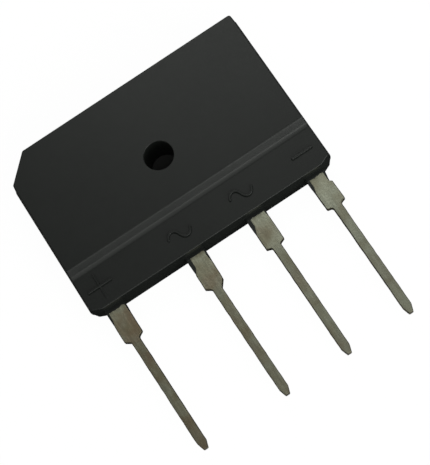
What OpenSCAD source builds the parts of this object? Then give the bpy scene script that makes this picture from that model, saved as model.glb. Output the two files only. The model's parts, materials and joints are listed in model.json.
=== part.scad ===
// Bridge rectifier in a flat in-line package: one moulded block, four leads in a row.
// The part lies on its back. The origin is the centre of the screw hole on the back face.
// +Z points out of the stepped front, +Y away from the leads, and +X from the
// positive lead to the negative one.

/* [Body] */
// Distance from the centre line of each outer lead to the side of the body
side_margin = 2.5; // [2.2:0.1:5]
// Height of the moulded body, along the leads
body_h = 20; // [19.5:0.5:26]
// Thickness of the main part of the body
body_t = 4.6; // [4.3:0.1:6]
// Thickness of the lower part, next to the leads
step_t = 3.6; // [3.5:0.05:3.9]
// Height of the lower part, from the bottom edge to the foot of the slope
step_h = 4.7; // [4:0.1:4.9]
// Height of the slope that joins the two thicknesses
slope_h = 0.65; // [0.4:0.05:0.9]
// Corner cut off at the positive side, along each edge
corner_cut = 3; // [2:0.1:4]
// Width of the shallow cut at each bottom corner
foot_cut_w = 1.35; // [1:0.05:1.5]
// Height of the shallow cut at each bottom corner
foot_cut_h = 0.6; // [0.3:0.05:0.8]
// Draft of the moulded sides, each way from the parting plane, in degrees
draft = 7.5; // [3:0.5:9]
// Radius of the upright corners, at the parting plane
corner_r = 0.6; // [0.5:0.05:0.8]
// Radius of the front and back edges
edge_r = 0.15; // [0.1:0.05:0.2]
// Radius at the foot and at the crest of the slope
slope_r = 0.2; // [0.1:0.05:0.3]

/* [Screw hole] */
// Diameter of the screw hole
hole_d = 3.2; // [3:0.1:3.5]
// Height of the hole's centre above the bottom edge
hole_up = 10.6; // [10.4:0.1:11]
// Chamfer at both ends of the hole
hole_edge = 0.12; // [0.05:0.01:0.2]

/* [Leads] */
// Distance between the positive lead and the first AC lead
wide_pitch = 10; // [9.5:0.1:10.5]
// Distance between the other leads
lead_pitch = 7.5; // [7.3:0.1:7.7]
// Length of the leads below the body
lead_len = 17.9; // [8:0.1:18]
// Thickness of the leads and of the pads inside
lead_t = 0.7; // [0.6:0.05:0.8]
// Distance from the back face to the back of the leads
lead_back = 2; // [1.8:0.05:2.1]
// Width of the wide stretch next to the body
lead_wide = 2.25; // [2.1:0.05:2.4]
// Width of the wide stretch where it leaves the body
lead_root = 1.75; // [1.6:0.05:1.8]
// Width of the narrow stretch
lead_narrow = 1.05; // [0.9:0.05:1.2]
// Width of the lead's end
lead_end = 0.5; // [0.4:0.05:0.7]
// Sideways offset of the root, where the dam bar was punched off centre
root_shift = 0.1; // [0:0.02:0.1]
// Distance from the body to the mark that the dam bar leaves
dam_y = 1.9; // [1.5:0.1:2.2]
// Distance from the body to the shoulder
shoulder_y = 3.85; // [3.4:0.05:4.2]
// Length of the taper from wide to narrow
shoulder_len = 0.5; // [0.4:0.05:0.8]
// Length of the taper at the lead's end
end_len = 0.9; // [0.6:0.1:1.2]
// Radius of the shoulder's corner
shoulder_r = 0.25; // [0.1:0.05:0.3]
// Radius of the hollow where the narrow stretch starts
neck_r = 0.4; // [0.2:0.05:0.6]
// Radius where the taper at the end starts
taper_r = 0.5; // [0.2:0.1:0.8]
// Radius of the corners of the lead's end
tip_r = 0.12; // [0.05:0.01:0.15]

/* [Frame inside] */
// Compound left between the frame and the side of the body
frame_cover = 1.5; // [1.2:0.1:1.6]
// Gap between two neighbouring pads
frame_gap = 1; // [0.8:0.05:1.1]
// Compound left around the screw hole
hole_cover = 1.4; // [1.2:0.05:1.5]
// Height of the pads' lower edge above the bottom edge of the body
pad_up = 2.6; // [2.2:0.1:3]
// Width of the riser that carries the positive pad, and of the negative pad
riser_w = 2.75; // [2.5:0.05:2.8]
// Diameter of the holes in the pads that lock them in the compound
lock_d = 1; // [0.8:0.1:1.1]
// Radius of the pads' corners
pad_r = 0.4; // [0.2:0.05:0.5]
// Height of the toe that joins the first AC pad to its lead
toe_h = 2.5; // [2:0.1:3]

/* [Dies and clips] */
// Side of the square silicon dies
die_w = 3.6; // [3:0.1:3.8]
// Thickness of the dies
die_t = 0.28; // [0.22:0.02:0.32]
// Thickness of each solder layer
solder_t = 0.08; // [0.05:0.01:0.1]
// Width of the copper clips
clip_w = 2; // [1.6:0.1:2.2]
// Thickness of the copper clips
clip_t = 0.35; // [0.25:0.05:0.4]
// Length of a clip's foot
foot_len = 1.2; // [1:0.1:1.3]
// Length that a clip reaches past the middle of its die
clip_reach = 1.3; // [1:0.1:1.4]
// Distance from a pad's edge to a clip's bend or foot
clip_inset = 0.15; // [0.1:0.05:0.2]
// Width of the passivated rim round the top of a die
die_rim = 0.25; // [0.15:0.05:0.3]

/* [Hidden] */
$fn = 48;
ARC_STEPS = 4;      // straight stretches in each rounded corner
FAR = 100;          // longer than any part of the body
PAST = 1;           // how far a limit or a cutter runs past what it cuts
SIDE_GAP = 0.02;    // how far outside the block a limit lies where it must not cut

// Colours
COMPOUND = "#303231";
TINNED = "#8c8873";
SILICON = "#4a4d57";
SOLDER = "#b4b4b0";
COPPER = "#b87349";

// Leads, from the positive one to the negative one, centred on the body
lead_row = wide_pitch + 2 * lead_pitch;
lead_x = [for (step = [0, wide_pitch, wide_pitch + lead_pitch, lead_row]) step - lead_row / 2];

// Edges of the body, with the hole's centre at the origin
left_x = lead_x[0] - side_margin;
right_x = lead_x[3] + side_margin;
low_y = -hole_up;
top_y = low_y + body_h;
slope_foot_y = low_y + step_h;
slope_crest_y = slope_foot_y + slope_h;
parting_z = lead_back + lead_t / 2;

// Pads of the frame
pad_z = lead_back + lead_t;                       // front of the pads
pad_low_y = low_y + pad_up;
hole_keep = hole_d / 2 + hole_cover;              // no metal nearer to the hole's axis
outer_x = lead_x[3] + lead_wide / 2;              // outer edge of the frame
riser_x = outer_x - riser_w;                      // inner edge of the outer pads
ac_outer_x = riser_x - frame_gap;                 // outer edge of the AC pads
ac_top_y = hole_keep - frame_gap;                 // upper edge of the AC pads
frame_top_y = top_y - frame_cover;
ac_mid_x = (ac_outer_x + hole_keep) / 2;

// Dies: one and two on the positive pad, three and four on the AC pads
clip_y = -hole_keep - clip_w / 2;                 // centre line of the negative clip
upper_die_y = (hole_keep + frame_top_y) / 2;
die_at = [[-ac_mid_x, upper_die_y], [ac_mid_x, upper_die_y], [-ac_mid_x, clip_y], [ac_mid_x, clip_y]];
die_z = pad_z + solder_t;
top_solder_z = die_z + die_t;
clip_z = top_solder_z + solder_t;
foot_z = pad_z + solder_t;

// Feet of the clips: two on the AC pads, one on the negative pad
ac_foot_y = ac_top_y - clip_inset - foot_len / 2;
neg_foot_x = riser_x + clip_inset + foot_len / 2;
foot_at = [[-ac_mid_x, ac_foot_y], [ac_mid_x, ac_foot_y], [neg_foot_x, clip_y]];

// ---- Outlines with rounded corners ----

function unit(v) = v / norm(v);

// The points of the arc that rounds corner b, between its neighbours a and c
function corner_arc(a, b, c, r) =
    let (
        to_a = unit(a - b),
        to_c = unit(c - b),
        half = acos(to_a * to_c) / 2,
        middle = b + unit(to_a + to_c) * r / sin(half),
        start = b + to_a * r / tan(half) - middle,
        stop = b + to_c * r / tan(half) - middle,
        from = atan2(start.y, start.x),
        sweep = (atan2(stop.y, stop.x) - from + 540) % 360 - 180
    )
    [for (i = [0:ARC_STEPS]) let (t = from + sweep * i / ARC_STEPS) middle + r * [cos(t), sin(t)]];

// An outline of [x, y, radius] corners, with every corner of radius 0 left sharp
function rounded(corners) =
    let (n = len(corners))
    [
        for (i = [0:n - 1])
        let (
            before = corners[(i + n - 1) % n],
            here = corners[i],
            after = corners[(i + 1) % n]
        )
        each here.z == 0
            ? [[here.x, here.y]]
            : corner_arc([before.x, before.y], [here.x, here.y], [after.x, after.y], here.z)
    ];

// ---- Moulded body ----

// The corners of the body's plan at the parting plane, anticlockwise
body_plan = [
    [left_x, low_y + foot_cut_h],
    [left_x + foot_cut_w, low_y],
    [right_x - foot_cut_w, low_y],
    [right_x, low_y + foot_cut_h],
    [right_x, top_y],
    [left_x + corner_cut, top_y],
    [left_x, top_y - corner_cut]
];

// The centre of the arc of radius r inside corner i of a convex plan
function arc_centre(plan, i, r) =
    let (
        n = len(plan),
        to_a = unit(plan[(i + n - 1) % n] - plan[i]),
        to_c = unit(plan[(i + 1) % n] - plan[i]),
        half = acos(to_a * to_c) / 2
    )
    plan[i] + unit(to_a + to_c) * r / sin(half);

// The direction straight out of the side from corner i to the next one, in degrees
function side_normal(plan, i) =
    let (run = plan[(i + 1) % len(plan)] - plan[i])
    atan2(run.y, run.x) - 90;

// The plan drawn with arcs of radius r about its fixed corner centres, at height z
function plan_ring(r, z) = [
    for (i = [0:len(body_plan) - 1])
    let (
        centre = arc_centre(body_plan, i, corner_r),
        from = side_normal(body_plan, (i + len(body_plan) - 1) % len(body_plan)),
        sweep = (side_normal(body_plan, i) - from + 720) % 360
    )
    for (k = [0:ARC_STEPS])
    let (t = from + sweep * k / ARC_STEPS)
    [centre.x + r * cos(t), centre.y + r * sin(t), z]
];

// A closed solid through rings with equal numbers of points, lowest first
module loft(rings) {
    n = len(rings[0]);
    polyhedron(
        points = [for (ring = rings) each ring],
        faces = concat(
            [[for (k = [0:n - 1]) k]],
            [
                for (level = [0:len(rings) - 2])
                for (k = [0:n - 1])
                let (low = level * n, next = (k + 1) % n)
                [low + k, low + n + k, low + n + next, low + next]
            ],
            [[for (k = [n - 1:-1:0]) (len(rings) - 1) * n + k]]
        )
    );
}

// Section of the wall from the back edge to the front edge, as [radius, z].
// The draft narrows the block both ways from the parting plane.
function wall_section(thick) =
    let (
        back_r = corner_r - parting_z * tan(draft),
        front_r = corner_r - (thick - parting_z) * tan(draft)
    )
    concat(
        corner_arc([back_r - FAR, 0], [back_r, 0], [corner_r, parting_z], edge_r),
        [[corner_r, parting_z]],
        corner_arc([corner_r, parting_z], [front_r, thick], [front_r - FAR, thick], edge_r)
    );

// The outside of the full block
module drafted_block() {
    loft([for (p = wall_section(body_t)) plan_ring(p.x, p.y)]);
}

// What the thin part has to stay inside: its front edge is rounded, and its sides lie just
// outside the block's own, so that only the front counts
module thin_limit() {
    section = wall_section(step_t);
    above_parting = ARC_STEPS + 2;
    front = [
        for (i = [above_parting:len(section) - 1])
        plan_ring(section[i].x + SIDE_GAP, section[i].y)
    ];
    loft(concat([plan_ring(corner_r + PAST, -PAST)], front));
}

// Extrudes a profile, drawn as [y, z], across the whole body and past both sides
module across() {
    rotate([90, 0, 90]) linear_extrude(right_x - left_x + 2 * PAST, center = true) children();
}

// What the thick part has to stay inside: all that lies under the slope and the main face
module thick_limit() {
    foot = [slope_foot_y, step_t];
    crest = [slope_crest_y, body_t];
    slope_line = concat(
        corner_arc([slope_foot_y - FAR, step_t], foot, crest, slope_r),
        corner_arc(foot, crest, [slope_crest_y + FAR, body_t], slope_r)
    );
    last = slope_line[len(slope_line) - 1];
    across() polygon(concat(
        [[slope_line[0].x, -PAST]],
        slope_line,
        [[last.x, body_t + PAST], [top_y + PAST, body_t + PAST], [top_y + PAST, -PAST]]
    ));
}

module moulded_outside() {
    intersection() {
        drafted_block();
        union() {
            thin_limit();
            thick_limit();
        }
    }
}

module screw_hole() {
    translate([0, 0, -hole_edge]) cylinder(d = hole_d, h = body_t + 2 * hole_edge);
    for (end = [[0, 0], [body_t, 180]]) {
        translate([0, 0, end[0]]) rotate([end[1], 0, 0]) translate([0, 0, -hole_edge])
            cylinder(d1 = hole_d + 4 * hole_edge, d2 = hole_d, h = 2 * hole_edge);
    }
}

// Thin compound that bled along the leads, as far as the dam bar
module lead_flash() {
    for (x = lead_x) {
        translate([x - lead_wide / 2, low_y - dam_y, lead_back])
            cube([lead_wide, dam_y + foot_cut_h, lead_t]);
    }
}

module moulded_body() {
    color(COMPOUND) difference() {
        union() {
            moulded_outside();
            lead_flash();
        }
        screw_hole();
        positive_terminal();
        ac_terminal_1();
        ac_terminal_2();
        negative_terminal();
        for (i = [0:3]) {
            diode_die(i);
            die_solder(i);
            top_solder(i);
        }
        for (i = [0:2]) {
            clip_solder(i);
        }
        ac_clip(0);
        ac_clip(1);
        negative_clip();
    }
}

// ---- Terminals: each lead and its pad are one stamping ----

// Half of a lead's outline on the side given by side: 1 for the right, -1 for the left
function lead_side(side) = [
    [side * lead_root / 2 + root_shift, pad_low_y + pad_r, 0],
    [side * lead_root / 2 + root_shift, low_y, 0],
    [side * lead_wide / 2, low_y - dam_y, 0],
    [side * lead_wide / 2, low_y - shoulder_y, shoulder_r],
    [side * lead_narrow / 2, low_y - shoulder_y - shoulder_len, neck_r],
    [side * lead_narrow / 2, low_y - lead_len + end_len, taper_r],
    [side * lead_end / 2, low_y - lead_len, tip_r]
];

function reversed(list) = [for (i = [len(list) - 1:-1:0]) list[i]];

// A terminal: lead number i joined to the pad that is drawn by the children
module terminal(i) {
    color(TINNED) difference() {
        union() {
            translate([lead_x[i], 0, lead_back]) linear_extrude(lead_t)
                polygon(rounded(concat(lead_side(1), reversed(lead_side(-1)))));
            translate([0, 0, lead_back]) linear_extrude(lead_t) children();
        }
        translate([lead_x[i], pad_low_y + lock_d, lead_back - PAST])
            cylinder(d = lock_d, h = lead_t + 2 * PAST);
    }
}

// A rectangular pad between two corners
module pad(low, high) {
    polygon(rounded([
        [low.x, low.y, pad_r],
        [high.x, low.y, pad_r],
        [high.x, high.y, pad_r],
        [low.x, high.y, pad_r]
    ]));
}

// The positive pad runs up one side and over the screw hole, clear of the cut corner
module positive_terminal() {
    cut_line = top_y - corner_cut - left_x - frame_cover * sqrt(2);      // y - x along the clipped corner
    terminal(0) difference() {
        polygon(rounded([
            [-outer_x, pad_low_y, pad_r],
            [-riser_x, pad_low_y, pad_r],
            [-riser_x, hole_keep, pad_r],
            [ac_outer_x, hole_keep, pad_r],
            [ac_outer_x, frame_top_y, pad_r],
            [-outer_x, frame_top_y, 0]
        ]));
        polygon([[-outer_x - FAR, cut_line - outer_x - FAR], [FAR, cut_line + FAR], [-outer_x - FAR, FAR]]);
    }
}

// The first AC pad reaches its lead by a toe under the screw hole
module ac_terminal_1() {
    toe_x = lead_x[1] + root_shift + lead_root / 2;
    terminal(1) polygon(rounded([
        [-ac_outer_x, pad_low_y, pad_r],
        [toe_x, pad_low_y, 0],
        [toe_x, pad_low_y + toe_h, pad_r],
        [-hole_keep, pad_low_y + toe_h, pad_r],
        [-hole_keep, ac_top_y, pad_r],
        [-ac_outer_x, ac_top_y, pad_r]
    ]));
}

module ac_terminal_2() {
    terminal(2) pad([hole_keep, pad_low_y], [ac_outer_x, ac_top_y]);
}

module negative_terminal() {
    terminal(3) pad([riser_x, pad_low_y], [outer_x, ac_top_y]);
}

// ---- Dies, solder and clips ----

// A flat square slab centred on a point of the frame
module slab(at, z, size, thick) {
    translate([at.x, at.y, z + thick / 2]) cube([size.x, size.y, thick], center = true);
}

// A die is a square chip with a lowered rim round its top
module diode_die(i) {
    color(SILICON) {
        slab(die_at[i], die_z, [die_w, die_w], die_t / 2);
        slab(die_at[i], die_z, [die_w - 2 * die_rim, die_w - 2 * die_rim], die_t);
    }
}

module die_solder(i) {
    color(SOLDER) slab(die_at[i], pad_z, [die_w, die_w], solder_t);
}

// The solder on a die is as wide as the clip and stays inside the rim
module top_solder(i) {
    side = die_w - 4 * die_rim;
    along_y = i < 2;
    color(SOLDER) slab(die_at[i], top_solder_z, along_y ? [clip_w, side] : [side, clip_w], solder_t);
}

module clip_solder(i) {
    along_y = i < 2;
    color(SOLDER) slab(foot_at[i], pad_z, along_y ? [clip_w, foot_len] : [foot_len, clip_w], solder_t);
}

// A clip's side view: flat over the dies, a bend between the pads, and a foot.
// The distances run from the end over the first die to the end of the foot.
module clip_profile(bend_start, bend_end, stop) {
    polygon([
        [0, clip_z],
        [bend_start, clip_z],
        [bend_end, foot_z],
        [stop, foot_z],
        [stop, foot_z + clip_t],
        [bend_end, foot_z + clip_t],
        [bend_start, clip_z + clip_t],
        [0, clip_z + clip_t]
    ]);
}

// Clips one and two run down from the positive pad's dies to the AC pads
module ac_clip(i) {
    start = upper_die_y + clip_reach;
    color(COPPER) translate([die_at[i].x + clip_w / 2, start, 0]) rotate([90, 0, -90])
        linear_extrude(clip_w) clip_profile(
            start - hole_keep + clip_inset,
            start - ac_foot_y - foot_len / 2,
            start - ac_foot_y + foot_len / 2
        );
}

// The negative clip crosses both lower dies to the negative pad
module negative_clip() {
    start = die_at[2].x - clip_reach;
    color(COPPER) translate([start, clip_y + clip_w / 2, 0]) rotate([90, 0, 0])
        linear_extrude(clip_w) clip_profile(
            ac_outer_x - start + clip_inset,
            neg_foot_x - start - foot_len / 2,
            neg_foot_x - start + foot_len / 2
        );
}

module diode_die_1() { diode_die(0); }
module diode_die_2() { diode_die(1); }
module diode_die_3() { diode_die(2); }
module diode_die_4() { diode_die(3); }
module die_solder_1() { die_solder(0); }
module die_solder_2() { die_solder(1); }
module die_solder_3() { die_solder(2); }
module die_solder_4() { die_solder(3); }
module top_solder_1() { top_solder(0); }
module top_solder_2() { top_solder(1); }
module top_solder_3() { top_solder(2); }
module top_solder_4() { top_solder(3); }
module clip_solder_1() { clip_solder(0); }
module clip_solder_2() { clip_solder(1); }
module clip_solder_3() { clip_solder(2); }
module ac_clip_1() { ac_clip(0); }
module ac_clip_2() { ac_clip(1); }

moulded_body();
positive_terminal();
ac_terminal_1();
ac_terminal_2();
negative_terminal();
diode_die_1();
diode_die_2();
diode_die_3();
diode_die_4();
die_solder_1();
die_solder_2();
die_solder_3();
die_solder_4();
top_solder_1();
top_solder_2();
top_solder_3();
top_solder_4();
ac_clip_1();
ac_clip_2();
negative_clip();
clip_solder_1();
clip_solder_2();
clip_solder_3();
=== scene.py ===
"""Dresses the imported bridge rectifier: the moulded case, its polarity signs, the stamped leads,
the chips inside and the stage around them. Settings are in metres, in the part's own frame, and
the meshes are drawn in millimetres and scaled when they are done."""

import json
import math

import bmesh
import bpy
from bpy.props import FloatProperty, FloatVectorProperty, PointerProperty
from mathutils import Matrix, Vector, noise


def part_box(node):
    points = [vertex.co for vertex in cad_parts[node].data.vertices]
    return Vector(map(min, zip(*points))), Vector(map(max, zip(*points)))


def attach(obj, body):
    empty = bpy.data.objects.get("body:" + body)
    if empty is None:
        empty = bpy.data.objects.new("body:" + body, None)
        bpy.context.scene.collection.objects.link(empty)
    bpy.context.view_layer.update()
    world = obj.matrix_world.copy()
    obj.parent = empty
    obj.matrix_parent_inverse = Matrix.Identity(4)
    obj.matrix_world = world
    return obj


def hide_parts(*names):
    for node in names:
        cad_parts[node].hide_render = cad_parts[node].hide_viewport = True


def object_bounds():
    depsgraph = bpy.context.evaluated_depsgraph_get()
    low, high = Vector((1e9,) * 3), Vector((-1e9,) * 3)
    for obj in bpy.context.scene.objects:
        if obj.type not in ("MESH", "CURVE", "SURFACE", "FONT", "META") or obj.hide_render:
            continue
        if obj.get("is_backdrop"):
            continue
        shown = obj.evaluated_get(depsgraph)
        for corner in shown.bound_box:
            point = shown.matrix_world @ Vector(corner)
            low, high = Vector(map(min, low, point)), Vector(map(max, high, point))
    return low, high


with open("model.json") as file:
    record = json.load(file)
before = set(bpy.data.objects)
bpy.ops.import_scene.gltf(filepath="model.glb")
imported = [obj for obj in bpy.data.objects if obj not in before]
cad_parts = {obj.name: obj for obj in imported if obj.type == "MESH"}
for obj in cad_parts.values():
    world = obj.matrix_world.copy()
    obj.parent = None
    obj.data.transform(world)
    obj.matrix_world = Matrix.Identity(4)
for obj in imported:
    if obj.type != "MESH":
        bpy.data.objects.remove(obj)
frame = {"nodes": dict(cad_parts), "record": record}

bl_info = {
    "name": "Bridge Rectifier",
    "version": (1, 0, 0),
    "blender": (4, 5, 0),
    "location": "View3D > Sidebar > Rectifier",
    "description": "Builds the moulded case, the signs, the leads and the stage of a bridge rectifier",
    "category": "Object",
}

MM = 0.001
FRAME_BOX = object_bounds()
CASE_LOW, CASE_HIGH = (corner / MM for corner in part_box("moulded_body"))
MOUNTS = {mount["name"]: mount for mount in frame["record"]["mounts"]}
HOLE_RADIUS = MOUNTS["screw_hole"]["dims"]["r_mm"]


def mount_point(name):
    """A mount's place, in millimetres."""
    return Vector(MOUNTS[name]["pos_m"]) / MM


# ---- Settings ----

def linear(hex_colour):
    """Turns an sRGB hex colour such as #303231 into linear RGB."""
    values = [int(hex_colour[i:i + 2], 16) / 255 for i in (1, 3, 5)]
    return [v / 12.92 if v <= 0.04045 else ((v + 0.055) / 1.055) ** 2.4 for v in values]


def length(name, description, millimetres):
    return FloatProperty(name=name, description=description, default=millimetres * MM,
                         min=0, precision=5, subtype="DISTANCE", unit="LENGTH")


def angle(name, description, degrees):
    return FloatProperty(name=name, description=description, default=math.radians(degrees),
                         subtype="ANGLE", unit="ROTATION")


def colour(name, description, hex_colour):
    return FloatVectorProperty(name=name, description=description, default=linear(hex_colour),
                               size=3, min=0, max=1, subtype="COLOR")


def amount(name, description, value):
    return FloatProperty(name=name, description=description, default=value, min=0)


class CaseSettings(bpy.types.PropertyGroup):
    hole_rise: length("Hole height", "From the bottom edge to the screw hole's centre", 10.6)
    thin: length("Lower thickness", "Thickness of the lower part, next to the leads", 3.6)
    step_rise: length("Step height", "From the bottom edge to the foot of the slope", 4.7)
    slope_rise: length("Slope height", "From the foot of the slope to its crest", 0.65)
    corner_cut: length("Cut corner", "Corner cut off at the positive side", 3)
    foot_width: length("Foot cut width", "Width of the shallow cut at each bottom corner", 1.35)
    foot_height: length("Foot cut height", "Height of the shallow cut at each bottom corner", 0.6)
    draft: angle("Draft", "Draft of the moulded sides", 7.5)
    corner_radius: length("Corner radius", "Radius of the upright corners", 0.6)
    edge_radius: length("Edge radius", "Radius of the outer edges and the hole's rim", 0.1)
    crest_radius: length("Crest radius", "Radius of the slope's crest", 0.14)
    foot_radius: length("Foot radius", "Radius of the slope's foot", 0.36)
    seam: length("Seam", "How far the seam of the two mould halves stands proud", 0.03)
    compound: colour("Compound", "Colour of the moulding compound", "#151816")
    bloom: colour("Bloom", "Colour of the paler bloom on the compound", "#1d201e")


class SignSettings(bpy.types.PropertyGroup):
    rise: length("Height above the edge", "From the bottom edge to the signs' middle", 2.4)
    stroke: length("Stroke", "Width of the raised strokes", 0.26)
    relief: length("Relief", "Height of the strokes above the face", 0.2)
    edge: length("Edge", "Radius of the strokes' upper edges", 0.07)
    draft: angle("Draft", "Draft of the strokes' sides", 5)
    shallow: FloatProperty(name="Shallow foot", default=0.3, min=0, max=1, subtype="FACTOR",
                           description="Share of its height that the plus sign keeps at its foot")
    plus_size: length("Plus size", "Length of both strokes of the plus sign", 2.75)
    minus_size: length("Minus size", "Length of the minus sign", 2.35)
    wave_size: length("Wave size", "Width of the AC wave", 2.65)
    wave_height: length("Wave height", "Height of the AC wave's crest above its middle", 0.62)


class LeadSettings(bpy.types.PropertyGroup):
    wide: length("Wide stretch", "Width of the leads next to the case", 2.25)
    narrow: length("Narrow stretch", "Width of the leads below the shoulder", 1.04)
    tip: length("Tip", "Width of the leads' ends", 0.5)
    tip_taper: length("Tip taper", "Length of the taper at the ends", 0.85)
    edge: length("Edge", "Roll-over of the stamped edges", 0.13)
    pad_rise: length("Pad height", "From the case's bottom edge to the pads inside", 2.6)
    pad_radius: length("Pad corner", "Radius of the pads' corners", 0.4)
    riser: length("Riser", "Width of the positive pad's riser", 2.75)
    hole_cover: length("Hole cover", "Compound between the screw hole and the pads", 1.4)
    toe: length("Toe", "Height of the toe of the first AC pad", 2.5)
    cover: length("Cover", "Compound between the positive pad and the cut corner", 1.5)
    lock: length("Lock hole", "Diameter of the holes that lock the pads in the compound", 1)
    tin: colour("Tin", "Colour of the clean tin plating", "#c2c4b0")
    tarnish: colour("Tarnish", "Colour of the olive tarnish on the plating", "#9c957c")
    bare: colour("Worn tin", "Colour where brown alloy shows through the tin", "#95806a")
    # Dark partly as bare sheared metal, partly as painted shade on the steep sides
    sheared: colour("Sheared edge", "Colour of the punched sides", "#3b3830")


class InsideSettings(bpy.types.PropertyGroup):
    silicon: colour("Silicon", "Colour of the dies", "#4a4d57")
    passivation: colour("Passivation", "Colour of the glass film on the dies", "#5c4a6b")
    solder: colour("Solder", "Colour of the solder layers", "#b4b4b0")
    copper: colour("Copper", "Colour of the clips", "#b87349")
    oxide: colour("Oxide", "Colour of the clips' thin oxide", "#8a4a2e")


class StageSettings(bpy.types.PropertyGroup):
    floor_radius: length("Floor radius", "Radius of the floor", 1200)
    floor: colour("Floor", "Colour of the floor", "#4a4a4a")
    aim_x: FloatProperty(name="Aim X", description="Where the camera looks", default=0.478 * MM,
                         precision=5, unit="LENGTH")
    aim_y: FloatProperty(name="Aim Y", description="Where the camera looks", default=-9.823 * MM,
                         precision=5, unit="LENGTH")
    distance: length("Camera distance", "From the aim to the camera", 167.3)
    turn: angle("Turn", "Turn of the camera about the upright axis", -2.29)
    tilt: angle("Tilt", "Tilt of the camera from straight above", 18.64)
    roll: angle("Roll", "Roll of the camera about its own axis", -31.28)
    lens: FloatProperty(name="Lens", description="Focal length in millimetres on a 36 mm sensor",
                        default=123.98, min=1, subtype="DISTANCE_CAMERA")
    key: amount("Key light", "Power of the main softbox, in watts", 0.061)
    fill: amount("Fill light", "Power of the softbox behind the camera, in watts", 1.4)
    card: amount("Card", "Power of the low card in front of the leads, in watts", 0.64)
    tint: colour("Tint", "Colour of all the light", "#f9fcf8")
    sky: amount("Sky", "Strength of the even light from all round", 0.12)


# ---- Outlines, in millimetres ----

def rounded(corners, steps=6):
    """Points of an outline of (x, y, radius) corners, each rounded by an arc."""
    points = []
    for i, (x, y, radius) in enumerate(corners):
        here = Vector((x, y))
        if radius == 0:
            points.append(here)
            continue
        to_last = (Vector(corners[i - 1][:2]) - here).normalized()
        to_next = (Vector(corners[(i + 1) % len(corners)][:2]) - here).normalized()
        half = to_last.angle(to_next) / 2
        middle = here + (to_last + to_next).normalized() * radius / math.sin(half)
        start = here + to_last * radius / math.tan(half) - middle
        stop = here + to_next * radius / math.tan(half) - middle
        sweep = math.atan2(start.x * stop.y - start.y * stop.x, start.dot(stop))
        for k in range(steps + 1):
            points.append(middle + Matrix.Rotation(sweep * k / steps, 2) @ start)
    return points


def ribbon(path, width, steps=6):
    """Outline of a stroke of even width along a path, with round ends."""
    count = len(path)
    along = [(path[min(i + 1, count - 1)] - path[max(i - 1, 0)]).normalized() for i in range(count)]
    right = [p + Vector((a.y, -a.x)) * width / 2 for p, a in zip(path, along)]
    left = [p - Vector((a.y, -a.x)) * width / 2 for p, a in zip(path, along)]

    def cap(centre, start):
        turns = [Matrix.Rotation(math.pi * k / steps, 2) for k in range(1, steps)]
        return [centre + turn @ (start - centre) for turn in turns]

    return right + cap(path[-1], right[-1]) + left[::-1] + cap(path[0], left[0])


# ---- Meshes, in millimetres until they are settled ----

def new_object(name, mesh):
    obj = bpy.data.objects.new(name, mesh)
    bpy.context.scene.collection.objects.link(obj)
    return obj


def loft(name, rings):
    """A closed solid through rings of equal numbers of points, lowest first."""
    bm = bmesh.new()
    loops = [[bm.verts.new(point) for point in ring] for ring in rings]
    count = len(rings[0])
    bm.faces.new(loops[0][::-1])
    bm.faces.new(loops[-1])
    for low, high in zip(loops, loops[1:]):
        for k in range(count):
            following = (k + 1) % count
            bm.faces.new((low[k], low[following], high[following], high[k]))
    mesh = bpy.data.meshes.new(name)
    bm.to_mesh(mesh)
    bm.free()
    return new_object(name, mesh)


def prism(name, outline, low, high):
    """A flat-ended solid between two heights."""
    return loft(name, [[(p.x, p.y, z) for p in outline] for z in (low, high)])


def cylinder(name, centre, radius, low, high, sides=96):
    steps = (math.tau * k / sides for k in range(sides))
    return prism(name, [centre + radius * Vector((math.cos(t), math.sin(t))) for t in steps], low, high)


def freeze(obj):
    """Replaces an object's mesh with what its modifiers make of it."""
    graph = bpy.context.evaluated_depsgraph_get()
    mesh = bpy.data.meshes.new_from_object(obj.evaluated_get(graph))
    old = obj.data
    obj.modifiers.clear()
    obj.data = mesh
    mesh.name = obj.name
    bpy.data.meshes.remove(old)
    return obj


def carve(solid, *cutters):
    """Cuts the cutters out of a solid and deletes them."""
    for cutter in cutters:
        cut = solid.modifiers.new("cut", "BOOLEAN")
        cut.operation = "DIFFERENCE"
        cut.solver = "EXACT"
        cut.object = cutter
    freeze(solid)
    for cutter in cutters:
        bpy.data.objects.remove(cutter)
    return solid


def divide(obj, *planes):
    """Cuts the faces along planes, each a point and a normal, so that no face is awkwardly shaped."""
    bm = bmesh.new()
    bm.from_mesh(obj.data)
    for point, normal in planes:
        everything = bm.verts[:] + bm.edges[:] + bm.faces[:]
        bmesh.ops.bisect_plane(bm, geom=everything, plane_co=point, plane_no=normal)
    bm.to_mesh(obj.data)
    bm.free()
    return obj


def round_edges(obj, radius, segments, share=lambda edge: 1, least=30):
    """Rounds every edge that is sharper than least degrees by its share of the radius, 0 to 1."""
    bm = bmesh.new()
    bm.from_mesh(obj.data)
    weight = bm.edges.layers.float.new("bevel_weight_edge")
    for edge in bm.edges:
        sharp = len(edge.link_faces) == 2 and edge.calc_face_angle() > math.radians(least)
        edge[weight] = share(edge) if sharp else 0
    bm.to_mesh(obj.data)
    bm.free()
    bevel = obj.modifiers.new("round", "BEVEL")
    bevel.width = radius
    bevel.segments = segments
    bevel.limit_method = "WEIGHT"
    bevel.use_clamp_overlap = False
    return freeze(obj)


def shade(obj, least=25):
    """Smooth shading, with weighted normals so that the flats stay flat."""
    obj.data.set_sharp_from_angle(angle=math.radians(least))
    for face in obj.data.polygons:
        face.use_smooth = True
    weighted = obj.modifiers.new("normals", "WEIGHTED_NORMAL")
    weighted.keep_sharp = True
    return freeze(obj)


def settle(obj, material):
    """Scales a finished piece to metres, gives it its material and makes it ride on the part."""
    obj.data.transform(Matrix.Scale(MM, 4))
    obj.data.materials.append(material)
    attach(obj, "root")
    return obj


# ---- Materials ----

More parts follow.
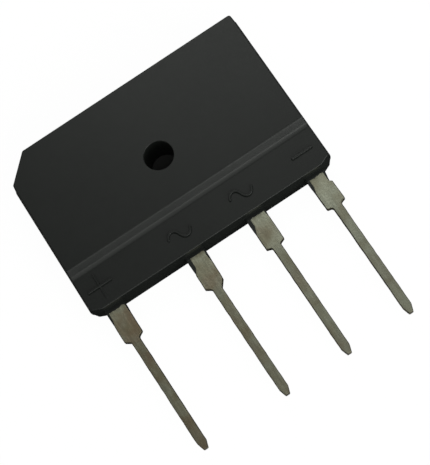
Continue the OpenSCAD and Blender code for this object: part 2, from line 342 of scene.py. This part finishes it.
def add(tree, kind, inputs=None, **settings):
    """Adds a node. Its inputs are values, or the sockets that link to them."""
    node = tree.nodes.new("ShaderNode" + kind)
    for name, value in settings.items():
        setattr(node, name, value)
    for name, value in (inputs or {}).items():
        if isinstance(value, bpy.types.NodeSocket):
            tree.links.new(value, node.inputs[name])
        else:
            node.inputs[name].default_value = value
    return node


def per_mm(size):
    """Noise scale at which a pattern repeats about every so many millimetres."""
    return 1 / (size * MM)


def new_material(name):
    material = bpy.data.materials.new(name)
    material.use_nodes = True
    material.node_tree.nodes.clear()
    return material, material.node_tree


def finish_surface(tree, shader):
    output = add(tree, "OutputMaterial")
    tree.links.new(shader.outputs[0], output.inputs["Surface"])


def rgba(value):
    return (*value, 1)


def moulded_epoxy(case):
    """Silica-filled epoxy compound, transfer-moulded in a spark-eroded cavity: a matt charcoal
    skin with a fine even grain, cloudy bloom from the release wax and a few faint rubs."""
    material, tree = new_material("moulded_epoxy_compound")
    place = add(tree, "TexCoord").outputs["Object"]
    cloud = add(tree, "TexNoise", {"Vector": place, "Scale": per_mm(7), "Detail": 3.0, "Roughness": 0.55})
    mottle = add(tree, "TexNoise", {"Vector": place, "Scale": per_mm(0.9), "Detail": 2.0})
    # The spark-eroded grain is finer than this, and is drawn coarser so that it shows
    grain = add(tree, "TexNoise", {"Vector": place, "Scale": per_mm(0.16), "Detail": 2.0, "Roughness": 0.6})
    cloud_range = add(tree, "MapRange", {"Value": cloud.outputs["Fac"], "From Min": 0.35, "From Max": 0.68})
    speck = add(tree, "MapRange", {"Value": grain.outputs["Fac"], "From Min": 0.3, "From Max": 0.8,
                                   "To Min": -0.14, "To Max": 0.3})
    patch = add(tree, "MapRange", {"Value": mottle.outputs["Fac"], "From Min": 0.4, "From Max": 0.75,
                                   "To Min": 0.0, "To Max": 0.22})
    bloom = add(tree, "Math", {0: cloud_range.outputs[0], 1: 0.5}, operation="MULTIPLY")
    bloom = add(tree, "Math", {0: bloom.outputs[0], 1: speck.outputs[0]}, operation="ADD")
    bloom = add(tree, "Math", {0: bloom.outputs[0], 1: patch.outputs[0]}, operation="ADD", use_clamp=True)
    base = add(tree, "Mix", {0: bloom.outputs[0], 6: rgba(case.compound), 7: rgba(case.bloom)},
               data_type="RGBA")
    rough = add(tree, "MapRange", {"Value": grain.outputs["Fac"], "From Min": 0.3, "From Max": 0.7,
                                   "To Min": 0.36, "To Max": 0.44})
    bump = add(tree, "Bump", {"Height": grain.outputs["Fac"], "Strength": 1.0, "Distance": 0.003 * MM})
    shader = add(tree, "BsdfPrincipled", {"Base Color": base.outputs[2], "Roughness": rough.outputs[0],
                                          "Normal": bump.outputs[0], "IOR": 1.5})
    finish_surface(tree, shader)
    return material


def tinned_strip(leads, low_edge, span):
    """Matt tin plated on rolled copper strip and left to tarnish: grey-white where it is clean,
    olive and brown in patches and more so towards -X, with faint drawn streaks
    and darker below the shoulders."""
    material, tree = new_material("matt_tin_on_copper_strip")
    place = add(tree, "TexCoord").outputs["Object"]
    drawn = add(tree, "Mapping", {"Vector": place, "Scale": (1, 0.12, 1)})
    streak = add(tree, "TexNoise", {"Vector": drawn.outputs[0], "Scale": per_mm(0.3), "Detail": 3.0})
    patch = add(tree, "TexNoise", {"Vector": place, "Scale": per_mm(2.4), "Detail": 4.0,
                                   "Roughness": 0.6, "Distortion": 0.3})
    stain = add(tree, "TexNoise", {"Vector": place, "Scale": per_mm(3.4), "Detail": 3.0, "Roughness": 0.6})
    crystal = add(tree, "TexNoise", {"Vector": place, "Scale": per_mm(0.25), "Detail": 3.0})
    axes = add(tree, "SeparateXYZ", {"Vector": place})
    # More olive and brown towards -X
    tarnish_towards_minus_x = add(tree, "MapRange", {"Value": axes.outputs["X"], "From Min": -span * MM, "From Max": span * MM,
                                 "To Min": 0.72, "To Max": 0.1})
    # Darker below the shoulders
    shoulder, neck = low_edge - 3.8, low_edge - 4.8
    below_shoulders = add(tree, "MapRange", {"Value": axes.outputs["Y"], "From Min": shoulder * MM,
                                    "From Max": neck * MM})
    patch_range = add(tree, "MapRange", {"Value": patch.outputs["Fac"], "From Min": 0.4, "From Max": 0.62,
                                         "To Min": -0.2, "To Max": 0.35})
    tarnished = add(tree, "Math", {0: tarnish_towards_minus_x.outputs[0], 1: patch_range.outputs[0]}, operation="ADD",
                    use_clamp=True)
    tone = add(tree, "Mix", {0: tarnished.outputs[0], 6: rgba(leads.tin), 7: rgba(leads.tarnish)},
               data_type="RGBA")
    stain_range = add(tree, "MapRange", {"Value": stain.outputs["Fac"], "From Min": 0.46, "From Max": 0.64})
    stained = add(tree, "Math", {0: stain_range.outputs[0], 1: tarnish_towards_minus_x.outputs[0]}, operation="MULTIPLY")
    tone = add(tree, "Mix", {0: stained.outputs[0], 6: tone.outputs[2], 7: rgba(leads.bare)},
               data_type="RGBA")
    dark = add(tree, "MapRange", {"Value": streak.outputs["Fac"], "From Min": 0.35, "From Max": 0.65,
                                  "To Min": 0.86, "To Max": 1.05})
    darker_below_shoulders = add(tree, "MapRange", {"Value": below_shoulders.outputs[0], "To Min": 1.0, "To Max": 0.86})
    dark = add(tree, "Math", {0: dark.outputs[0], 1: darker_below_shoulders.outputs[0]}, operation="MULTIPLY")
    tone = add(tree, "Mix", {0: 1.0, 6: tone.outputs[2], 7: dark.outputs[0]},
               data_type="RGBA", blend_type="MULTIPLY")
    rough = add(tree, "MapRange", {"Value": patch.outputs["Fac"], "From Min": 0.3, "From Max": 0.7,
                                   "To Min": 0.4, "To Max": 0.52})
    relief = add(tree, "Math", {0: streak.outputs["Fac"], 1: crystal.outputs["Fac"]}, operation="ADD")
    bump = add(tree, "Bump", {"Height": relief.outputs[0], "Strength": 1.0, "Distance": 0.014 * MM})
    shader = add(tree, "BsdfPrincipled", {"Base Color": tone.outputs[2], "Roughness": rough.outputs[0],
                                          "Normal": bump.outputs[0], "Metallic": 1.0})
    finish_surface(tree, shader)
    return material


def sheared_side_and_painted_shade(leads):
    """The punched side of the strip: a torn, dark and barely tinned fracture, rough along the cut.
    Its dark colour, which also covers the steep part of the rolled edges, is partly the bare sheared metal
    and partly painted shade for the dark ground these steep faces reflect.
    """
    material, tree = new_material("sheared_strip_side_and_painted_shade")
    place = add(tree, "TexCoord").outputs["Object"]
    torn = add(tree, "Mapping", {"Vector": place, "Scale": (1, 1, 0.15)})
    tear = add(tree, "TexNoise", {"Vector": torn.outputs[0], "Scale": per_mm(0.15), "Detail": 3.0})
    tear_range = add(tree, "MapRange", {"Value": tear.outputs["Fac"], "From Min": 0.4, "From Max": 0.7,
                                        "To Min": 0.0, "To Max": 0.45})
    tone = add(tree, "Mix", {0: tear_range.outputs[0], 6: rgba(leads.sheared), 7: rgba(leads.tarnish)},
               data_type="RGBA")
    bump = add(tree, "Bump", {"Height": tear.outputs["Fac"], "Strength": 1.0, "Distance": 0.02 * MM})
    shader = add(tree, "BsdfPrincipled", {"Base Color": tone.outputs[2], "Roughness": 0.5,
                                          "Normal": bump.outputs[0], "Metallic": 1.0})
    finish_surface(tree, shader)
    return material


def polished_silicon(inside):
    """Diced silicon under a glass film: a dark mirror with a faint violet cast where the film lies."""
    material, tree = new_material("polished_silicon_die")
    place = add(tree, "TexCoord").outputs["Object"]
    film = add(tree, "TexNoise", {"Vector": place, "Scale": per_mm(1.5), "Detail": 1.0})
    tone = add(tree, "Mix", {0: film.outputs["Fac"], 6: rgba(inside.silicon), 7: rgba(inside.passivation)},
               data_type="RGBA")
    shader = add(tree, "BsdfPrincipled", {"Base Color": tone.outputs[2], "Metallic": 0.6, "Roughness": 0.15,
                                          "Coat Weight": 0.4, "Coat Roughness": 0.08})
    finish_surface(tree, shader)
    return material


def reflowed_solder(inside):
    """High-lead solder, reflowed in a furnace: dull silver with a soft frosty grain."""
    material, tree = new_material("reflowed_lead_solder")
    place = add(tree, "TexCoord").outputs["Object"]
    frost = add(tree, "TexVoronoi", {"Vector": place, "Scale": per_mm(0.2)})
    rough = add(tree, "MapRange", {"Value": frost.outputs["Distance"], "To Min": 0.32, "To Max": 0.5})
    bump = add(tree, "Bump", {"Height": frost.outputs["Distance"], "Strength": 0.6, "Distance": 0.01 * MM})
    shader = add(tree, "BsdfPrincipled", {"Base Color": rgba(inside.solder), "Metallic": 1.0,
                                          "Roughness": rough.outputs[0], "Normal": bump.outputs[0]})
    finish_surface(tree, shader)
    return material


def bare_copper(inside):
    """Rolled copper sheet, stamped into clips: warm metal with a thin brown oxide in patches."""
    material, tree = new_material("bare_rolled_copper")
    place = add(tree, "TexCoord").outputs["Object"]
    patch = add(tree, "TexNoise", {"Vector": place, "Scale": per_mm(0.8), "Detail": 3.0})
    patch_range = add(tree, "MapRange", {"Value": patch.outputs["Fac"], "From Min": 0.4, "From Max": 0.65})
    tone = add(tree, "Mix", {0: patch_range.outputs[0], 6: rgba(inside.copper), 7: rgba(inside.oxide)},
               data_type="RGBA")
    shader = add(tree, "BsdfPrincipled", {"Base Color": tone.outputs[2], "Metallic": 1.0, "Roughness": 0.35})
    finish_surface(tree, shader)
    return material


def shared(name, maker, *arguments):
    """A material by name, made the first time that it is asked for."""
    return bpy.data.materials.get(name) or maker(*arguments)


# ---- Pieces ----

class RECTIFIER_OT_case(bpy.types.Operator):
    """Build the moulded case with its cut corner, step, slope and screw hole"""
    bl_idname = "rectifier.case"
    bl_label = "Moulded Case"

    def execute(self, context):
        case = context.scene.rectifier_case
        low_y = -case.hole_rise / MM
        left, right, top = CASE_LOW.x, CASE_HIGH.x, CASE_HIGH.y
        thick, parting = CASE_HIGH.z, mount_point("positive_lead").z
        foot_width, foot_height = case.foot_width / MM, case.foot_height / MM
        cut = case.corner_cut / MM
        seam, corner_radius = case.seam / MM, case.corner_radius / MM
        plan = [
            Vector((left, low_y + foot_height)),
            Vector((left + foot_width, low_y)),
            Vector((right - foot_width, low_y)),
            Vector((right, low_y + foot_height)),
            Vector((right, top)),
            Vector((left + cut, top)),
            Vector((left, top - cut)),
        ]

        def ring(inset, z, steps=8):
            """The plan drawn in by inset, about fixed corner centres."""
            points = []
            for i, here in enumerate(plan):
                to_last = (plan[i - 1] - here).normalized()
                to_next = (plan[(i + 1) % len(plan)] - here).normalized()
                half = to_last.angle(to_next) / 2
                centre = here + (to_last + to_next).normalized() * corner_radius / math.sin(half)
                start = Vector((to_last.y, -to_last.x)) * -(corner_radius - inset)
                sweep = math.pi - 2 * half
                for k in range(steps + 1):
                    p = centre + Matrix.Rotation(sweep * k / steps, 2) @ start
                    points.append((p.x, p.y, z))
            return points

        def drafted(z):
            return seam + abs(z - parting) * math.tan(case.draft)

        shell = loft("moulded_case", [
            ring(drafted(0), 0),
            ring(drafted(parting - seam), parting - seam),
            ring(0, parting - seam),
            ring(0, parting + seam),
            ring(drafted(parting + seam), parting + seam),
            ring(drafted(thick), thick),
        ])
        foot_y = low_y + case.step_rise / MM
        crest_y = foot_y + case.slope_rise / MM
        thin = case.thin / MM
        past = 1
        outside = low_y - past
        slope = (crest_y - foot_y) / (thick - thin)
        profile = [(outside, thin), (foot_y, thin), (crest_y + slope * past, thick + past),
                   (outside, thick + past)]
        step = loft("step", [[(x, y, z) for y, z in profile] for x in (left - past, right + past)])
        hole = cylinder("hole", Vector((0, 0)), HOLE_RADIUS, -past, thick + past)
        around = 1.5 * HOLE_RADIUS
        divide(shell, ((around, 0, 0), (1, 0, 0)), ((-around, 0, 0), (1, 0, 0)),
               ((0, around, 0), (0, 1, 0)), ((0, -around, 0), (0, 1, 0)))
        carve(shell, step, hole)

        def share(edge):
            """None at the seam, all at the slope's foot, and some at its crest and elsewhere."""
            points = [vert.co for vert in edge.verts]
            if all(abs(p.z - parting) < 2 * seam for p in points):
                return 0
            if all(abs(p.z - thin) < seam and abs(p.y - foot_y) < seam for p in points):
                return 1
            if all(abs(p.z - thick) < seam and abs(p.y - crest_y) < seam for p in points):
                return case.crest_radius / case.foot_radius
            return case.edge_radius / case.foot_radius

        round_edges(shell, case.foot_radius / MM, 6, share)
        shade(shell)
        settle(shell, shared("moulded_epoxy_compound", moulded_epoxy, case))
        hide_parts("moulded_body")
        return {"FINISHED"}


class RECTIFIER_OT_signs(bpy.types.Operator):
    """Build the raised polarity signs on the lower face, one over each lead"""
    bl_idname = "rectifier.signs"
    bl_label = "Polarity Signs"

    def execute(self, context):
        case, signs = context.scene.rectifier_case, context.scene.rectifier_signs
        material = shared("moulded_epoxy_compound", moulded_epoxy, case)
        face = case.thin / MM
        stroke, relief = signs.stroke / MM, signs.relief / MM
        edge, flare = signs.edge / MM, 2 * math.tan(signs.draft)
        middle_y = (signs.rise - case.hole_rise) / MM

        def straight(size, along):
            half = Vector((size / 2, 0) if along == "x" else (0, size / 2))
            return [-half, half]

        def wave(size, height, steps=32):
            """One full turn of the wave, with its ends hanging in as the cutter left them."""
            curl = 0.2
            turns = [math.tau * (k / steps - 0.5) for k in range(steps + 1)]
            return [Vector((size / math.tau * (t - curl * math.sin(2 * t)), -height * math.sin(t)))
                    for t in turns]

        plus = signs.plus_size / MM
        # The mount that each sign stands over, how far it is shifted sideways, and its paths
        strokes = {
            "plus_sign": ("positive_lead", -0.1, [straight(plus, "x"), straight(plus, "y")]),
            "ac_sign_1": ("ac_lead_1", -0.2, [wave(signs.wave_size / MM, signs.wave_height / MM)]),
            "ac_sign_2": ("ac_lead_2", -0.05, [wave(signs.wave_size / MM, signs.wave_height / MM)]),
            "minus_sign": ("negative_lead", 0.1, [straight(signs.minus_size / MM, "x")]),
        }
        for name, (mount, shift, paths) in strokes.items():
            centre = Vector((mount_point(mount).x + shift, middle_y))
            rings = [(stroke + relief * flare, -relief)]
            arc = 5
            for turn in (math.pi / 2 * k / arc for k in range(arc + 1)):
                rings.append((stroke - 2 * edge * (1 - math.cos(turn)),
                              relief - edge * (1 - math.sin(turn))))
            parts = [loft(name, [[(centre.x + p.x, centre.y + p.y, face + z) for p in ribbon(path, wide)]
                                 for wide, z in rings]) for path in paths]
            sign = parts[0]
            if len(parts) > 1:
                # The cutter that made the mould ran shallow towards the foot of the plus sign
                fade = 0.3 * plus
                for vert in parts[1].data.vertices:
                    if vert.co.z > face:
                        foot = min(1, max(0, (centre.y - vert.co.y) / fade))
                        vert.co.z = face + (vert.co.z - face) * (1 + (signs.shallow - 1) * foot)
                join = sign.modifiers.new("join", "BOOLEAN")
                join.operation = "UNION"
                join.solver = "EXACT"
                join.object = parts[1]
                freeze(sign)
                bpy.data.objects.remove(parts[1])
                sign.name = name
            shade(sign, 40)
            settle(sign, material)
        return {"FINISHED"}


class Side:
    """How the tools left one side of a lead, in millimetres down from the case: how far the root
    is set in, where it starts to widen and where it is full, where the shoulder starts, how long it is
    and how round, and whether the dark web beside the root, flash that also stands for painted shade, broke
    off on a slant."""

    def __init__(self, inset, widens, full, shoulder, taper, bend=0.2, broken=False):
        self.inset, self.widens, self.full = inset, widens, full
        self.shoulder, self.taper, self.bend, self.broken = shoulder, taper, bend, broken


class Lead:
    """One lead: the CAD node and mount it stands for, its left and right sides, how far its neck
    and its tip have drifted sideways, and how far the dark film on its face reaches down: compound flash
    that also stands for painted shade below the case."""

    def __init__(self, node, mount, left, right, neck, tip, flash_and_shade_reach):
        self.node, self.mount, self.sides = node, mount, (left, right)
        self.neck, self.tip, self.flash_and_shade_reach = neck, tip, flash_and_shade_reach


LEADS = {
    "positive": Lead(
        "positive_terminal", "positive_lead", neck=-0.01, tip=0.17, flash_and_shade_reach=0.38,
        left=Side(inset=0.14, widens=1.2, full=1.9, shoulder=3.95, taper=0.4),
        right=Side(inset=0.06, widens=0.8, full=1.6, shoulder=3.85, taper=0.35, bend=0.3)),
    "ac_1": Lead(
        "ac_terminal_1", "ac_lead_1", neck=-0.07, tip=0.05, flash_and_shade_reach=0.28,
        left=Side(inset=0.34, widens=1.4, full=2.1, shoulder=3.95, taper=0.4),
        right=Side(inset=0.12, widens=1.0, full=1.8, shoulder=3.95, taper=0.75, bend=0.25)),
    "ac_2": Lead(
        "ac_terminal_2", "ac_lead_2", neck=0.0, tip=0.015, flash_and_shade_reach=0.32,
        left=Side(inset=0.32, widens=1.2, full=2.1, shoulder=4.0, taper=0.2),
        right=Side(inset=0.1, widens=0.5, full=1.1, shoulder=3.95, taper=0.25)),
    "negative": Lead(
        "negative_terminal", "negative_lead", neck=0.04, tip=-0.01, flash_and_shade_reach=0.34,
        left=Side(inset=0.2, widens=1.2, full=1.9, shoulder=4.0, taper=0.15, bend=0.3),
        right=Side(inset=0.27, widens=1.45, full=1.65, shoulder=3.95, taper=0.2, bend=0.3, broken=True)),
}


def lead_side(leads, low_y, tip_y, lead, side):
    """One side of a lead's outline from the pad down to the tip: side is 0 left or 1 right."""
    sign = 1 if side else -1
    wide, narrow, tip = (value / MM / 2 for value in (leads.wide, leads.narrow, leads.tip))
    cut = lead.sides[side]
    pad_bend, mark_bend, shoulder_bend, taper_bend, tip_bend = 0.3, 0.1, 0.16, 0.6, 0.14
    return [
        (sign * (wide - cut.inset), low_y + leads.pad_rise / MM, pad_bend),
        (sign * (wide - cut.inset), low_y - cut.widens, mark_bend),
        (sign * wide, low_y - cut.full, mark_bend),
        (sign * wide, low_y - cut.shoulder, shoulder_bend),
        (sign * narrow, low_y - cut.shoulder - cut.taper, cut.bend),
        (sign * narrow, tip_y + leads.tip_taper / MM, taper_bend),
        (sign * tip, tip_y, tip_bend),
    ]


class RECTIFIER_OT_leads(bpy.types.Operator):
    """Build the four stamped terminals, each a lead and its pad in one piece"""
    bl_idname = "rectifier.leads"
    bl_label = "Stamped Leads"

    def execute(self, context):
        case, leads = context.scene.rectifier_case, context.scene.rectifier_leads
        low_y = -case.hole_rise / MM
        pad_y = low_y + leads.pad_rise / MM
        keep = HOLE_RADIUS + leads.hole_cover / MM
        radius = leads.pad_radius / MM
        tin = tinned_strip(leads, low_y, CASE_HIGH.x)
        side_finish_and_painted_shade = sheared_side_and_painted_shade(leads)
        for name, lead in LEADS.items():
            low, high = (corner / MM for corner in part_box(lead.node))
            centre = mount_point(lead.mount)
            stem = [(centre.x + x, y, r) for x, y, r in
                    lead_side(leads, low_y, low.y, lead, 0) + lead_side(leads, low_y, low.y, lead, 1)[::-1]]
            if name == "positive":
                riser_x = low.x + leads.riser / MM
                line = CASE_HIGH.y - case.corner_cut / MM - CASE_LOW.x - leads.cover / MM * math.sqrt(2)
                pad = [(riser_x, pad_y, radius), (riser_x, keep, radius), (high.x, keep, radius),
                       (high.x, high.y, radius), (high.y - line, high.y, 0), (low.x, low.x + line, 0),
                       (low.x, pad_y, radius)]
            elif name == "ac_1":
                toe_x, toe_y = stem[-1][0], pad_y + leads.toe / MM
                pad = [(toe_x, toe_y, radius), (-keep, toe_y, radius), (-keep, high.y, radius),
                       (low.x, high.y, radius), (low.x, pad_y, radius)]
                stem[-1] = (toe_x, pad_y, 0)
            else:
                pad = [(high.x, pad_y, radius), (high.x, high.y, radius), (low.x, high.y, radius),
                       (low.x, pad_y, radius)]
            terminal = prism(name + "_lead", rounded(pad + stem), low.z, high.z)
            lock = leads.lock / MM
            carve(terminal, cylinder("lock", Vector((centre.x, pad_y + lock)), lock / 2,
                                     low.z - lock, high.z + lock, 32))
            round_edges(terminal, leads.edge / MM, 3, least=50)
            self.wear(terminal, centre.x, low_y, low.y, lead)
            shade(terminal)
            rises = [abs(face.normal.z) for face in terminal.data.polygons]
            settle(terminal, tin)
            terminal.data.materials.append(side_finish_and_painted_shade)
            # Faces steeper than this take the dark side finish, which is partly painted shade
            flat = 0.8
            for face, rise in zip(terminal.data.polygons, rises):
                face.material_index = 1 if rise < flat else 0
            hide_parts(lead.node)
        return {"FINISHED"}

    def wear(self, terminal, centre_x, low_y, tip_y, lead):
        """Bends the lead a little, as handling does, and leaves its stamped sides slightly wavy."""
        spacing = 0.35
        waviness, sag = 0.03, 0.02
        divide(terminal, *(((0, low_y - k * spacing, 0), (0, 1, 0))
                           for k in range(int((low_y - tip_y) / spacing))))
        neck_y = low_y - lead.sides[0].shoulder
        for vert in terminal.data.vertices:
            y = vert.co.y
            if y > low_y:
                continue
            to_neck = min(1, (low_y - y) / (low_y - neck_y))
            to_tip = max(0, (neck_y - y) / (neck_y - tip_y))
            side = math.copysign(4, vert.co.x - centre_x)
            vert.co.x += lead.neck * to_neck * to_neck + (lead.tip - lead.neck) * to_tip
            vert.co.x += waviness * to_neck * noise.noise(Vector((centre_x, y * 1.3, side)))
            vert.co.z += sag * to_neck * noise.noise(Vector((centre_x, y * 0.4, 9)))


class RECTIFIER_OT_flash_and_painted_shade(bpy.types.Operator):
    """Build dark compound round each lead's root: a web along both sides as far as the dam
    bar stood, and a thin ragged film on its face. It is partly flash that bled out and partly painted shade
    where the case shades the lead's root"""
    bl_idname = "rectifier.flash"
    bl_label = "Flash"

    def execute(self, context):
        case, leads = context.scene.rectifier_case, context.scene.rectifier_leads
        material = shared("moulded_epoxy_compound", moulded_epoxy, case)
        low_y = -case.hole_rise / MM
        wide = leads.wide / MM / 2
        inside = 0.25     # how far the flash starts within the case
        skin = 0.02       # how far the webs stay under the lead's faces, and the film stands above them
        raggedness = 0.5  # how much of the film's length its lower edge wanders
        # The webs and films are dark compound: partly flash, partly painted shade at the leads' roots
        for name, lead in LEADS.items():
            low, high = (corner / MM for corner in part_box(lead.node))
            centre = mount_point(lead.mount)
            for side, cut in enumerate(lead.sides):
                sign = 1 if side else -1
                root = sign * (wide - cut.inset - inside) + centre.x
                outer = sign * (wide + 1.5 * skin) + centre.x
                end = sign * (wide - cut.inset if cut.broken else wide - skin) + centre.x
                steps = 8
                ragged = [Vector((outer + (end - outer) * (k / steps) ** (1 if cut.broken else 3)
                                  - sign * skin * abs(noise.noise(Vector((outer, k * 0.7, 2)))),
                                  low_y + inside - (cut.full + inside) * k / steps))
                          for k in range(steps + 1)]
                outline = ragged + [Vector((root, low_y - cut.full)), Vector((root, low_y + inside))]
                if side:
                    outline.reverse()
                web = prism(f"{name}_flash_{'right' if side else 'left'}", outline,
                            low.z + skin, high.z - skin)
                self.finish(web, material)
            steps = 16
            left, right = (centre.x + sign * (wide - skin) for sign in (-1, 1))
            ragged = []
            for k in range(steps + 1):
                x = left + (right - left) * k / steps
                reach = lead.flash_and_shade_reach * (1 + raggedness * noise.noise(Vector((x * 2.5, 5, 1))))
                ragged.append(Vector((x, low_y - reach)))
            outline = ragged + [Vector((right, low_y + inside)), Vector((left, low_y + inside))]
            film = prism(f"{name}_film", outline, high.z - skin, high.z + skin)
            self.finish(film, material)
        return {"FINISHED"}

    def finish(self, piece, material):
        edge = 0.01
        round_edges(piece, edge, 1, least=50)
        shade(piece)
        settle(piece, material)


class RECTIFIER_OT_inside(bpy.types.Operator):
    """Finish the dies, the solder layers and the clips, which the compound hides"""
    bl_idname = "rectifier.inside"
    bl_label = "Chips and Clips"

    def execute(self, context):
        inside = context.scene.rectifier_inside
        finishes = {
            "silicon": polished_silicon(inside),
            "solder": reflowed_solder(inside),
            "bare_copper": bare_copper(inside),
        }
        for subpart in frame["record"]["subparts"]:
            finish = finishes.get(subpart["material_slot"])
            if finish:
                mesh = frame["nodes"][subpart["node"]].data
                mesh.materials.clear()
                mesh.materials.append(finish)
        return {"FINISHED"}


# ---- Stage ----

def plain_floor(stage, footprint):
    """Dull dark card. It is white to the camera, and to mirrors and glass a little way off the
    part. The ground under the part stays in its shadow, and right next to the part mirrors see a painted
    shadow: their white is held back within 4 mm of the part and fades in out to 30 mm."""
    material, tree = new_material("dull_painted_card")
    under, open_floor = -1.2 * MM, -0.8 * MM  # the camera's white starts just within the case's outline
    painted_shadow_to, painted_shadow_fades_to = 4 * MM, 30 * MM       # and that of mirrors, outside it
    place = add(tree, "TexCoord").outputs["Object"]
    low, high = footprint
    middle, half = (low + high) / 2, (high - low) / 2
    away = add(tree, "VectorMath", {0: place, 1: (middle.x, middle.y, 0)}, operation="SUBTRACT")
    away = add(tree, "VectorMath", {0: away.outputs[0]}, operation="ABSOLUTE")
    away = add(tree, "VectorMath", {0: away.outputs[0], 1: (half.x, half.y, 0)}, operation="SUBTRACT")
    away = add(tree, "SeparateXYZ", {"Vector": away.outputs[0]})
    away = add(tree, "Math", {0: away.outputs["X"], 1: away.outputs["Y"]}, operation="MAXIMUM")
    path = add(tree, "LightPath")
    seen = add(tree, "MapRange", {"Value": away.outputs[0], "From Min": under, "From Max": open_floor})
    seen = add(tree, "Math", {0: seen.outputs[0], 1: path.outputs["Is Camera Ray"]}, operation="MULTIPLY")
    mirrored = add(tree, "Math", {0: path.outputs["Is Glossy Ray"], 1: path.outputs["Is Transmission Ray"]},
                   operation="MAXIMUM")
    # Mirrors and glass see the white only from 4 mm off the part, full at 30 mm: a painted shadow round the
    # part in reflections
    far = add(tree, "MapRange", {"Value": away.outputs[0], "From Min": painted_shadow_to, "From Max": painted_shadow_fades_to})
    mirrored = add(tree, "Math", {0: mirrored.outputs[0], 1: far.outputs[0]}, operation="MULTIPLY")
    white = add(tree, "Math", {0: seen.outputs[0], 1: mirrored.outputs[0]}, operation="MAXIMUM")
    # A little under 1, as the card's own light adds the rest where the part doesn't shade it
    strength = 0.97
    white = add(tree, "Math", {0: white.outputs[0], 1: strength}, operation="MULTIPLY")
    paint = add(tree, "BsdfDiffuse", {"Color": rgba(stage.floor)})
    glow = add(tree, "Emission", {"Strength": white.outputs[0]})
    both = add(tree, "AddShader", {0: paint.outputs[0], 1: glow.outputs[0]})
    finish_surface(tree, both)
    return material


class RECTIFIER_OT_stage(bpy.types.Operator):
    """Build the floor, the lamps, the even light and the camera"""
    bl_idname = "rectifier.stage"
    bl_label = "Stage"

    def execute(self, context):
        scene, stage = context.scene, context.scene.rectifier_stage
        case = scene.rectifier_case
        radius = stage.floor_radius
        sides = 64
        corners = [(radius * math.cos(math.tau * k / sides), radius * math.sin(math.tau * k / sides), 0)
                   for k in range(sides)]
        mesh = bpy.data.meshes.new("floor")
        mesh.from_pydata(corners, [], [range(sides)])
        footprint = (Vector((CASE_LOW.x * MM, -case.hole_rise)), Vector((CASE_HIGH.x, CASE_HIGH.y)) * MM)
        mesh.materials.append(plain_floor(stage, footprint))
        new_object("floor", mesh)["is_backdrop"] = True

        aim = Vector((stage.aim_x, stage.aim_y, mount_point("positive_lead").z * MM))
        self.lamp("key", aim, turn=72, height=52, distance=0.22, size=(0.1, 0.1), power=stage.key)
        self.lamp("fill", aim, turn=-85, height=48, distance=0.55, size=(0.8, 0.8), power=stage.fill)
        self.lamp("card", aim, turn=-60, height=16, distance=0.4, size=(0.4, 0.2), power=stage.card)

        world = bpy.data.worlds.new("even_light")
        world.use_nodes = True
        world.node_tree.nodes["Background"].inputs["Color"].default_value = rgba(stage.tint)
        world.node_tree.nodes["Background"].inputs["Strength"].default_value = stage.sky
        scene.world = world

        camera = bpy.data.objects.new("camera", bpy.data.cameras.new("camera"))
        camera.data.lens = stage.lens
        camera.data.clip_start = 10 * MM
        camera.data.clip_end = 5
        scene.collection.objects.link(camera)
        stand = Matrix.Rotation(stage.turn, 4, "Z") @ Matrix.Rotation(stage.tilt, 4, "X")
        stand = stand @ Matrix.Rotation(stage.roll, 4, "Z")
        camera.matrix_world = Matrix.Translation(aim) @ stand @ Matrix.Translation((0, 0, stage.distance))
        scene.camera = camera
        scene.view_settings.view_transform = "Standard"
        return {"FINISHED"}

    def lamp(self, name, aim, turn, height, distance, size, power):
        """A soft rectangular lamp that faces the aim. Turn is counted from +X, in degrees."""
        light = bpy.data.lights.new(name, "AREA")
        light.shape = "RECTANGLE"
        light.size, light.size_y = size
        light.energy = power
        light.color = bpy.context.scene.rectifier_stage.tint
        lamp = bpy.data.objects.new(name, light)
        bpy.context.scene.collection.objects.link(lamp)
        turn, height = math.radians(turn), math.radians(height)
        level = Vector((math.cos(turn), math.sin(turn), 0)) * math.cos(height)
        away = level + Vector((0, 0, math.sin(height)))
        lamp.matrix_world = (Matrix.Translation(aim + away * distance)
                             @ away.to_track_quat("Z", "Y").to_matrix().to_4x4())


class RECTIFIER_PT_panel(bpy.types.Panel):
    """Lists the pieces and their settings"""
    bl_label = "Bridge Rectifier"
    bl_idname = "RECTIFIER_PT_panel"
    bl_space_type = "VIEW_3D"
    bl_region_type = "UI"
    bl_category = "Rectifier"

    def draw(self, context):
        for operator, group in STEPS:
            box = self.layout.box()
            box.operator(operator.bl_idname)
            if group:
                settings = getattr(context.scene, group)
                for name in settings.__annotations__:
                    box.prop(settings, name)


GROUPS = {
    "rectifier_case": CaseSettings,
    "rectifier_signs": SignSettings,
    "rectifier_leads": LeadSettings,
    "rectifier_inside": InsideSettings,
    "rectifier_stage": StageSettings,
}
STEPS = (
    (RECTIFIER_OT_case, "rectifier_case"),
    (RECTIFIER_OT_signs, "rectifier_signs"),
    (RECTIFIER_OT_leads, "rectifier_leads"),
    (RECTIFIER_OT_flash_and_painted_shade, None),
    (RECTIFIER_OT_inside, "rectifier_inside"),
    (RECTIFIER_OT_stage, "rectifier_stage"),
)
CLASSES = (*GROUPS.values(), *(operator for operator, _ in STEPS), RECTIFIER_PT_panel)


def register():
    for cls in CLASSES:
        bpy.utils.register_class(cls)
    for name, group in GROUPS.items():
        setattr(bpy.types.Scene, name, PointerProperty(type=group))


def unregister():
    for name in GROUPS:
        delattr(bpy.types.Scene, name)
    for cls in reversed(CLASSES):
        bpy.utils.unregister_class(cls)


def main():
    register()
    bpy.ops.rectifier.case()
    bpy.ops.rectifier.signs()
    bpy.ops.rectifier.leads()
    bpy.ops.rectifier.flash()
    bpy.ops.rectifier.inside()
    bpy.ops.rectifier.stage()
    sizes = {"cad": FRAME_BOX, "visual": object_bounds()}
    plain = {name: [[float(v) for v in corner] for corner in box] for name, box in sizes.items()}


if __name__ == "__main__":
    main()
